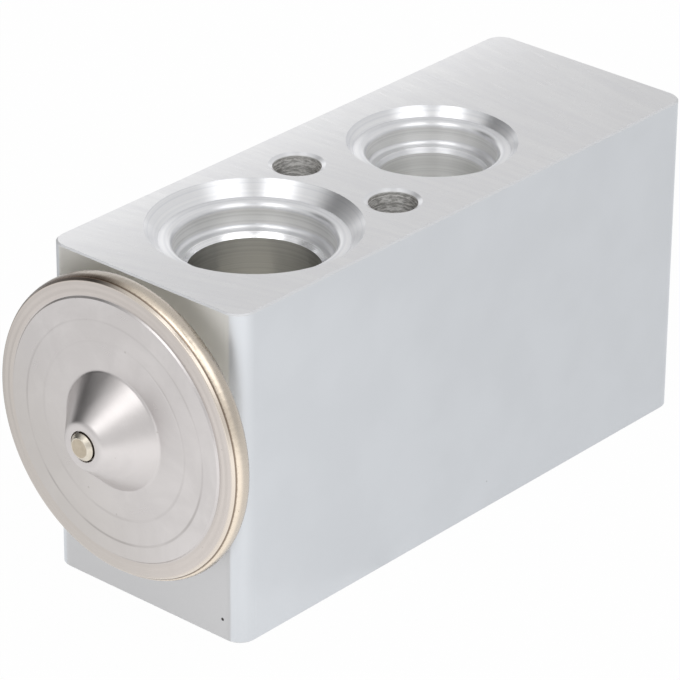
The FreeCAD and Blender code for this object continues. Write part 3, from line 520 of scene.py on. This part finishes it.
# Turned metals: dark and light colour, roughness, and where they differ the rings' pitch and depth
TURNED = {
    "diaphragm_steel": ((188, 188, 190), (206, 206, 207), 0.24),
    "stem_aluminium": ((196, 197, 199), (218, 219, 221), 0.26),
    "rod_steel": ((184, 184, 186), (204, 204, 205), 0.18, 12.0, 0.005),
    "ball_steel": ((198, 199, 202), (212, 213, 215), 0.10, 4.0, 0.002),
    "carrier_brass": ((186, 156, 96), (212, 184, 122), 0.26),
    "spring_steel": ((132, 132, 134), (164, 164, 165), 0.30, 3.0, 0.008),
    "screw_brass": ((190, 160, 100), (216, 190, 128), 0.24, 6.0, 0.012),
}
FINISHES = {
    "block_aluminium": block_aluminium(),
    "head_steel": cover_steel(),
    "weld_steel": weld_steel(),
    "plug_steel": plug_steel(),
    "seal_rubber": seal_rubber(),
    "sleeve_plastic": sleeve_plastic(),
}
for name, values in TURNED.items():
    FINISHES[name] = turned_metal(name, *values)

slot_of = {row["node"]: row["material_slot"] for row in frame["record"]["subparts"]}
for name, node in nodes.items():
    node.data.materials.clear()
    node.data.materials.append(FINISHES[slot_of[name]])


def piece(name, vertices, faces, slot, body, sharp):
    """Mesh object from vertices in millimetres, given its finish and set on its body."""
    mesh = bpy.data.meshes.new(name)
    mesh.from_pydata([(x * MM, y * MM, z * MM) for x, y, z in vertices], [], faces)
    mesh.validate()
    for polygon in mesh.polygons:
        polygon.use_smooth = True
    mesh.set_sharp_from_angle(angle=math.radians(sharp))
    made = bpy.data.objects.new(name, mesh)
    bpy.context.scene.collection.objects.link(made)
    mesh.materials.append(FINISHES[slot])
    if body:
        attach(made, body)
    return made


def rounded(corners):
    """Points of a closed outline (a, b, rounding), with each corner turned into an arc."""
    steps = 7
    points = []
    count = len(corners)
    for index, (a, b, rounding) in enumerate(corners):
        if rounding <= 0:
            points.append((a, b))
            continue
        here = Vector((a, b))
        back = Vector(corners[index - 1][:2]) - here
        ahead = Vector(corners[(index + 1) % count][:2]) - here
        shorter = min(back.length, ahead.length)
        half = back.angle(ahead) / 2
        reach = min(rounding / math.tan(half), 0.49 * shorter)
        radius = reach * math.tan(half)
        start = here + back.normalized() * reach
        inward = (back.normalized() + ahead.normalized()).normalized()
        centre = here + inward * (radius / math.sin(half))
        spoke = start - centre
        sweep = math.pi - 2 * half
        if back.x * ahead.y - back.y * ahead.x > 0:
            sweep = -sweep
        # A point just outside each end of the arc keeps the straight stretches' shading straight
        margin = min(0.02, 0.2 * (0.5 * shorter - reach))
        points.append(tuple(start + back.normalized() * margin))
        for step in range(steps + 1):
            angle = sweep * step / steps
            turned = Vector((spoke.x * math.cos(angle) - spoke.y * math.sin(angle),
                             spoke.x * math.sin(angle) + spoke.y * math.cos(angle)))
            points.append(tuple(centre + turned))
        points.append(tuple(here + ahead.normalized() * (reach + margin)))
    return points


def lathe(name, outline, slot, body, segments=360, sharp=35.0, shift=None):
    """Closed outline (x, radius) turned about the power axis, its points moved by any shift."""
    vertices = []
    for step in range(segments):
        angle = 2 * math.pi * step / segments
        for along, radius in outline:
            if shift:
                along, radius = shift(along, radius, angle)
            vertices.append((along, radius * math.sin(angle), AXIS_Z + radius * math.cos(angle)))
    count = len(outline)
    faces = []
    for step in range(segments):
        here = step * count
        there = (step + 1) % segments * count
        for index in range(count):
            other = (index + 1) % count
            faces.append((here + index, here + other, there + other, there + index))
    return piece(name, vertices, faces, slot, body, sharp)


def cover_shift(along, radius, angle):
    """The scribed ring lies a little below the cover's centre."""
    if SCRIBED_RING[0] < radius < SCRIBED_RING[1]:
        radius -= SCRIBED_DROP * math.cos(angle)
    return along, radius


# Head cover: the pressed disc with its cone, faint rings and step, then its inside from the rim
cover = lathe("head_cover", rounded([
    (PLUG_SEAT, PIN_HOLE_RADIUS, 0),
    (PLUG_SEAT, POCKET_RADIUS, 0.12),
    (NOSE_FRONT, POCKET_RADIUS, 0.10),
    (NOSE_FRONT, 2.7, 0.9),
    (COVER_FRONT, 6.9, 0.5),
    (COVER_FRONT, 10.2, 0.3),
    (COVER_FRONT + 0.015, 10.4, 0.3),
    (COVER_FRONT, 10.6, 0.3),
    (COVER_FRONT, 12.85, 0.1),
    (COVER_FRONT + 0.02, 13.04, 0.1),
    (COVER_FRONT, 13.23, 0.1),
    (COVER_FRONT, 15.14, 0.08),
    (COVER_FRONT + 0.21, 15.33, 0.06),
    (COVER_FRONT + 0.13, 15.80, 0.3),
    (COVER_FRONT + 0.20, 16.15, 0.3),
    (COVER_FRONT + 0.16, 16.55, 0.3),
    (-42.75, 17.08, 0.15),
    (-42.46, 17.27, 0.1),
    (WELD_FRONT, HEAD_RADIUS, 0),
    (COVER_BACK, HEAD_RADIUS, 0),
    (COVER_BACK, 14.55, 0),
    (COVER_INSIDE, 14.25, 0),
    (COVER_INSIDE, 6.4, 0.4),
    (CONE_INSIDE, 2.45, 0.3),
    (CONE_INSIDE, PIN_HOLE_RADIUS, 0),
]), "head_steel", "valve_body", sharp=50.0, shift=cover_shift)
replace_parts(cover, "head_upper_cover")


def weld_outline():
    """Shallow arc from the cover's edge to the back of the flange, as (x, radius) points."""
    middle = (WELD_FRONT + WELD_BACK) / 2
    half = (WELD_BACK - WELD_FRONT) / 2
    rise = WELD_CREST - HEAD_RADIUS
    bend = (half ** 2 + rise ** 2) / (2 * rise)
    steps = 28
    points = []
    for step in range(steps + 1):
        along = middle - half * math.cos(math.pi * step / steps)
        lift = math.sqrt(bend ** 2 - (along - middle) ** 2) - (bend - rise)
        points.append((along, HEAD_RADIUS + max(0.0, lift)))
    return points


def weld_ripple(along, radius, angle):
    """Overlapping ripples, lower on the far side and never proud of the plain bead."""
    if radius < HEAD_RADIUS + 0.02:
        return along, radius
    ripples = math.sin(angle * 130 + 0.9 + 1.6 * along) * 0.5
    swell = math.sin(angle * 47 + 1.0) * 0.3
    wave = ripples + swell
    low = 0.62 * max(0.0, math.cos(angle - 0.9)) ** 1.5
    return along, HEAD_RADIUS + (radius - HEAD_RADIUS) * (1 - low) - 0.006 * (1 + wave)


bead = lathe("rim_weld_bead", weld_outline(), "weld_steel", "valve_body",
             segments=1080, sharp=60.0, shift=weld_ripple)
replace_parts(bead, "head_rim_weld")

# Charge plug with a softened bevel
plug = lathe("nose_plug", rounded([
    (NOSE_FRONT - 0.5, ON_AXIS, 0),
    (NOSE_FRONT - 0.5, 1.16, 0.04),
    (NOSE_FRONT - 0.1, PLUG_RADIUS, 0.05),
    (PLUG_SEAT, PLUG_RADIUS, 0),
    (PLUG_SEAT, PIN_RADIUS, 0),
    (PIN_END, PIN_RADIUS, 0.1),
    (PIN_END, ON_AXIS, 0),
]), "plug_steel", "valve_body", segments=96)
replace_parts(plug, "charge_plug")


# Superheat spring and adjusting screw: stations along X and radii about the power axis
SPRING_START = 20.095
SPRING_END = 28.095
SPRING_TURNS = 5.0
COIL_RADIUS = 3.5
WIRE_RADIUS = 0.5
SCREW_TIP = 24.995
SPIGOT_RADIUS = 2.7
LAND_START = 28.25
LAND_RADIUS = 5.55
GROOVE = (29.095, 30.595)
GROOVE_RADIUS = 4.1
NECK_START = 32.495
NECK_RADIUS = 6.3
THREAD_START = 32.6
THREAD_END = 36.25
THREAD_ROOT = 6.38
THREAD_CREST = 6.98
THREAD_DEPTH = 0.6
THREAD_PITCH = 1.0
SCREW_END = 36.6
SOCKET_BOTTOM = 33.2
SOCKET_HALF = 3.0
DRILL_POINT = 31.4

# What a ring of the screw's points follows
PLAIN, THREAD, HEXAGON = range(3)


def thread_radius(along, angle):
    """Radius of the cut thread, fading to its root at both ends."""
    phase = (along / THREAD_PITCH + angle / (2 * math.pi)) % 1.0
    fade = min(1.0, (along - THREAD_START) / 0.3, (THREAD_END - along) / 0.25)
    cut = THREAD_CREST - THREAD_DEPTH * abs(2 * phase - 1)
    return THREAD_ROOT + (cut - THREAD_ROOT) * max(0.0, fade)


def adjusting_screw():
    """Screw with its spigot, seal groove, thread and hexagon socket."""
    around = 144
    rings = [
        # Spigot inside the spring, with a chamfer
        (SCREW_TIP, ON_AXIS, PLAIN),
        (SCREW_TIP, SPIGOT_RADIUS - 0.4, PLAIN),
        (SCREW_TIP + 0.4, SPIGOT_RADIUS, PLAIN),
        (SPRING_END, SPIGOT_RADIUS, PLAIN),
        # Shoulder under the spring, the seal ring's groove between two lands, and the neck
        (SPRING_END, LAND_RADIUS - 0.15, PLAIN),
        (LAND_START, LAND_RADIUS, PLAIN),
        (GROOVE[0], LAND_RADIUS, PLAIN),
        (GROOVE[0], GROOVE_RADIUS, PLAIN),
        (GROOVE[1], GROOVE_RADIUS, PLAIN),
        (GROOVE[1], LAND_RADIUS, PLAIN),
        (NECK_START, LAND_RADIUS, PLAIN),
        (NECK_START, NECK_RADIUS, PLAIN),
    ]
    steps = 76
    for step in range(steps + 1):
        along = THREAD_START + (THREAD_END - THREAD_START) * step / steps
        rings.append((along, THREAD_CREST, THREAD))
    rings += [
        # End face, then the socket down to its drilled point
        (THREAD_END + 0.05, THREAD_ROOT, PLAIN),
        (SCREW_END, NECK_RADIUS, PLAIN),
        (SCREW_END, SOCKET_HALF + 0.25, HEXAGON),
        (SCREW_END - 0.15, SOCKET_HALF, HEXAGON),
        (SOCKET_BOTTOM, SOCKET_HALF, HEXAGON),
        (SOCKET_BOTTOM, SOCKET_HALF - 0.1, PLAIN),
        (DRILL_POINT, ON_AXIS, PLAIN),
    ]
    vertices = []
    for along, radius, kind in rings:
        for step in range(around):
            angle = 2 * math.pi * step / around
            here = radius
            if kind == THREAD:
                here = thread_radius(along, angle)
            elif kind == HEXAGON:
                corner = (math.degrees(angle) + 30.0) % 60.0 - 30.0
                here = radius / math.cos(math.radians(corner))
            vertices.append((along, here * math.sin(angle), AXIS_Z + here * math.cos(angle)))
    faces = []
    for ring in range(len(rings) - 1):
        for step in range(around):
            following = (step + 1) % around
            faces.append((ring * around + step, (ring + 1) * around + step,
                          (ring + 1) * around + following, ring * around + following))
    faces.append(tuple(range(around)))
    last = (len(rings) - 1) * around
    faces.append(tuple(last + step for step in reversed(range(around))))
    return piece("adjuster", vertices, faces, "screw_brass", "adjuster_screw", sharp=30.0)


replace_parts(adjusting_screw(), "adjusting_screw")


def spring_half(name, low, high):
    """Coils of the superheat spring between two shares of its length, ground flat at its ends."""
    start, end = SPRING_START, SPRING_END
    around, per_turn = 14, 60
    ground = 0.01
    total = int(per_turn * SPRING_TURNS * (high - low))
    vertices = []
    for step in range(total + 1):
        share = low + (high - low) * step / total
        angle = 2 * math.pi * SPRING_TURNS * share
        along = start + (end - start) * share
        for side in range(around):
            turn = 2 * math.pi * side / around
            radius = COIL_RADIUS + WIRE_RADIUS * math.cos(turn)
            place = along + WIRE_RADIUS * math.sin(turn)
            place = min(max(place, start + ground), end - ground)
            vertices.append((place, radius * math.sin(angle), AXIS_Z + radius * math.cos(angle)))
    faces = []
    for step in range(total):
        here = step * around
        for side in range(around):
            other = (side + 1) % around
            faces.append((here + side, here + other, here + around + other, here + around + side))
    faces.append(tuple(reversed(range(around))))
    faces.append(tuple(total * around + side for side in range(around)))
    made = piece(name, vertices, faces, "spring_steel", None, sharp=45.0)
    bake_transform(made)
    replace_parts(made, "superheat_spring")


spring_half("spring_seat_half", 0.0, 0.5)
spring_half("spring_screw_half", 0.5, 1.0)


# Studio, in metres: pale floor a hair under the part's base, white surround, two soft boxes beside
# the camera, a strip lamp beyond the far top edge, and soft-edged cards that only the metal mirrors
STUDIO_MIDDLE = (0.0, 0.0, 0.02)
STUDIO_DISTANCE = 0.8
FLOOR_HALF = 3.0
FLOOR_LEVEL = -0.00002
POOL_MIDDLE = (-0.115, -0.095, 0.0)
SHADE_MIDDLE = (0.0, 0.11, 0.0)
SQUARE = ((-1, -1), (1, -1), (1, 1), (-1, 1))


def rays_share(tree, camera_share, glossy_share):
    """Socket that is one share for camera rays, another for glossy rays, nothing for the rest."""
    rays = tree.nodes.new("ShaderNodeLightPath")
    total = None
    for output, share in (("Is Camera Ray", camera_share), ("Is Glossy Ray", glossy_share),
                          ("Is Transmission Ray", glossy_share)):
        part = tree.nodes.new("ShaderNodeMath")
        part.operation = "MULTIPLY"
        part.inputs[1].default_value = share
        tree.links.new(rays.outputs[output], part.inputs[0])
        if total is None:
            total = part.outputs[0]
            continue
        most = tree.nodes.new("ShaderNodeMath")
        most.operation = "MAXIMUM"
        tree.links.new(total, most.inputs[0])
        tree.links.new(part.outputs[0], most.inputs[1])
        total = most.outputs[0]
    return total


def spot(tree, middle, near, far, at_middle, beyond):
    """Level that changes with the distance from a point of the studio."""
    place = tree.nodes.new("ShaderNodeTexCoord")
    away = tree.nodes.new("ShaderNodeVectorMath")
    away.operation = "DISTANCE"
    away.inputs[1].default_value = middle
    tree.links.new(place.outputs["Object"], away.inputs[0])
    level = tree.nodes.new("ShaderNodeMapRange")
    level.interpolation_type = "SMOOTHSTEP"
    level.inputs["From Min"].default_value = near
    level.inputs["From Max"].default_value = far
    level.inputs["To Min"].default_value = at_middle
    level.inputs["To Max"].default_value = beyond
    tree.links.new(away.outputs["Value"], level.inputs["Value"])
    return level.outputs[0]


def shown(tree, output, share, first, second):
    """Ends a tree in an output node with two shaders, mixed by the second one's share."""
    blend = tree.nodes.new("ShaderNodeMixShader")
    tree.links.new(share, blend.inputs[0])
    tree.links.new(first.outputs[0], blend.inputs[1])
    tree.links.new(second.outputs[0], blend.inputs[2])
    tree.links.new(blend.outputs[0], tree.nodes.new(output).inputs["Surface"])


def staged(name, corners):
    """Flat sheet of the studio, with an empty node material."""
    mesh = bpy.data.meshes.new(name)
    mesh.from_pydata([tuple(corner) for corner in corners], [], [(0, 1, 2, 3)])
    made = bpy.data.objects.new(name, mesh)
    bpy.context.scene.collection.objects.link(made)
    material = bpy.data.materials.new(name)
    material.use_nodes = True
    material.node_tree.nodes.clear()
    mesh.materials.append(material)
    return made, material.node_tree


def floor():
    """Pale floor that the metal mirrors, with a painted pool of light on the camera's side and a
    painted shadow on the far side.

    The camera itself sees it evenly white, with only a trace of the part's shadow.
    """
    tree = staged("floor", [(FLOOR_HALF * a, FLOOR_HALF * b, FLOOR_LEVEL) for a, b in SQUARE])[1]
    diffuse = tree.nodes.new("ShaderNodeBsdfDiffuse")
    diffuse.inputs["Color"].default_value = (0.86, 0.86, 0.86, 1.0)
    glow = tree.nodes.new("ShaderNodeEmission")
    strength = tree.nodes.new("ShaderNodeMath")
    strength.operation = "MULTIPLY"
    # Painted pool of light and painted shadow, seen only in the metal's reflections
    pool = spot(tree, POOL_MIDDLE, near=0.03, far=0.17, at_middle=1.6, beyond=1.08)
    shade = spot(tree, SHADE_MIDDLE, near=0.02, far=0.10, at_middle=0.4, beyond=1.0)
    tree.links.new(pool, strength.inputs[0])
    tree.links.new(shade, strength.inputs[1])
    seen = tree.nodes.new("ShaderNodeMix")
    seen.data_type = "FLOAT"
    tree.links.new(rays_share(tree, camera_share=1.0, glossy_share=0.0), seen.inputs[0])
    tree.links.new(strength.outputs[0], seen.inputs[2])
    seen.inputs[3].default_value = 1.0
    tree.links.new(seen.outputs[0], glow.inputs["Strength"])
    glowing = rays_share(tree, camera_share=0.98, glossy_share=0.75)
    shown(tree, "ShaderNodeOutputMaterial", glowing, diffuse, glow)


def surround():
    """White world for camera and glossy rays, a little dimmer as the light on matt surfaces."""
    world = bpy.data.worlds.new("surround")
    bpy.context.scene.world = world
    world.use_nodes = True
    tree = world.node_tree
    tree.nodes.clear()
    plain = tree.nodes.new("ShaderNodeBackground")
    plain.inputs["Strength"].default_value = 0.8
    white = tree.nodes.new("ShaderNodeBackground")
    white.inputs["Strength"].default_value = 1.0
    seen = rays_share(tree, camera_share=1.0, glossy_share=1.0)
    shown(tree, "ShaderNodeOutputWorld", seen, plain, white)


def bearing_point(azimuth, elevation):
    """Point at the studio's distance from its middle, in a direction given in degrees."""
    turn = math.radians(azimuth)
    rise = math.radians(elevation)
    flat = STUDIO_DISTANCE * math.cos(rise)
    height = STUDIO_DISTANCE * math.sin(rise) + STUDIO_MIDDLE[2]
    return Vector((flat * math.cos(turn), flat * math.sin(turn), height))


def lamp(name, place, target, width, height, radiance, mirrored):
    """Rectangular soft lamp, with its power worked out from the brightness of its face."""
    light = bpy.data.lights.new(name, "AREA")
    light.shape = "RECTANGLE"
    light.size = width
    light.size_y = height
    light.energy = radiance * math.pi * width * height
    made = bpy.data.objects.new(name, light)
    bpy.context.scene.collection.objects.link(made)
    made.location = place
    made.rotation_euler = (Vector(target) - Vector(place)).to_track_quat("-Z", "Y").to_euler()
    made.visible_glossy = mirrored


def card(name, azimuth, elevation, core, reach, level):
    """Round soft-edged card beyond the view, which only the metal mirrors.

    Its full core and its outer reach are half-angles in degrees, seen from the part.
    """
    middle = bearing_point(azimuth, elevation)
    ahead = (middle - Vector(STUDIO_MIDDLE)).normalized()
    side = ahead.cross(Vector((0, 0, 1))).normalized()
    up = side.cross(ahead)
    inner = STUDIO_DISTANCE * math.tan(math.radians(core))
    outer = STUDIO_DISTANCE * math.tan(math.radians(reach))
    corners = [middle + side * (a * outer) + up * (b * outer) for a, b in SQUARE]
    made, tree = staged(name, corners)
    glow = tree.nodes.new("ShaderNodeEmission")
    glow.inputs["Strength"].default_value = level
    clear = tree.nodes.new("ShaderNodeBsdfTransparent")
    fade = spot(tree, middle, inner, outer, 1.0, 0.0)
    shown(tree, "ShaderNodeOutputMaterial", fade, clear, glow)
    made.visible_camera = False
    made.visible_shadow = False
    made.visible_diffuse = False


floor()
surround()
lamp("left_box", bearing_point(-169, 50), STUDIO_MIDDLE,
     width=0.40, height=0.66, radiance=0.85, mirrored=False)
lamp("right_box", bearing_point(-108, 48), STUDIO_MIDDLE,
     width=0.38, height=0.72, radiance=0.75, mirrored=False)
lamp("back_strip", (0.016, 0.027, 0.0475), (0.016, 0.0, 0.0475),
     width=0.135, height=0.015, radiance=0.31, mirrored=True)
card("left_glow", azimuth=-168, elevation=50, core=9.0, reach=24.0, level=2.4)
card("right_glow", azimuth=-108, elevation=47, core=9.0, reach=30.0, level=2.0)
card("dark_corner", azimuth=108, elevation=20, core=14.0, reach=39.0, level=0.07)
card("gap_shade", azimuth=-139, elevation=60, core=3.0, reach=15.0, level=0.3)

# Camera, fitted to the photograph's edges and ports
CAMERA_PLACE = (-0.328271, -0.281977, 0.240682)
CAMERA_RIGHT = (0.661966, -0.749507, 0.006307)
CAMERA_AHEAD = (0.668563, 0.586631, -0.457042)

camera_data = bpy.data.cameras.new("camera")
camera = bpy.data.objects.new("camera", camera_data)
bpy.context.scene.collection.objects.link(camera)
right = Vector(CAMERA_RIGHT).normalized()
forward = Vector(CAMERA_AHEAD).normalized()
up = right.cross(forward).normalized()
right = forward.cross(up)
turn = Matrix((right, up, -forward)).transposed().to_4x4()
camera.matrix_world = Matrix.Translation(Vector(CAMERA_PLACE)) @ turn
camera_data.sensor_width = 36.0
camera_data.lens = 225.507
camera_data.shift_x = 0.0054
camera_data.shift_y = -0.0031
camera_data.clip_start = 0.01
camera_data.clip_end = 10.0
bpy.context.scene.camera = camera
bpy.context.scene.view_settings.view_transform = "Standard"

bpy.context.view_layer.update()
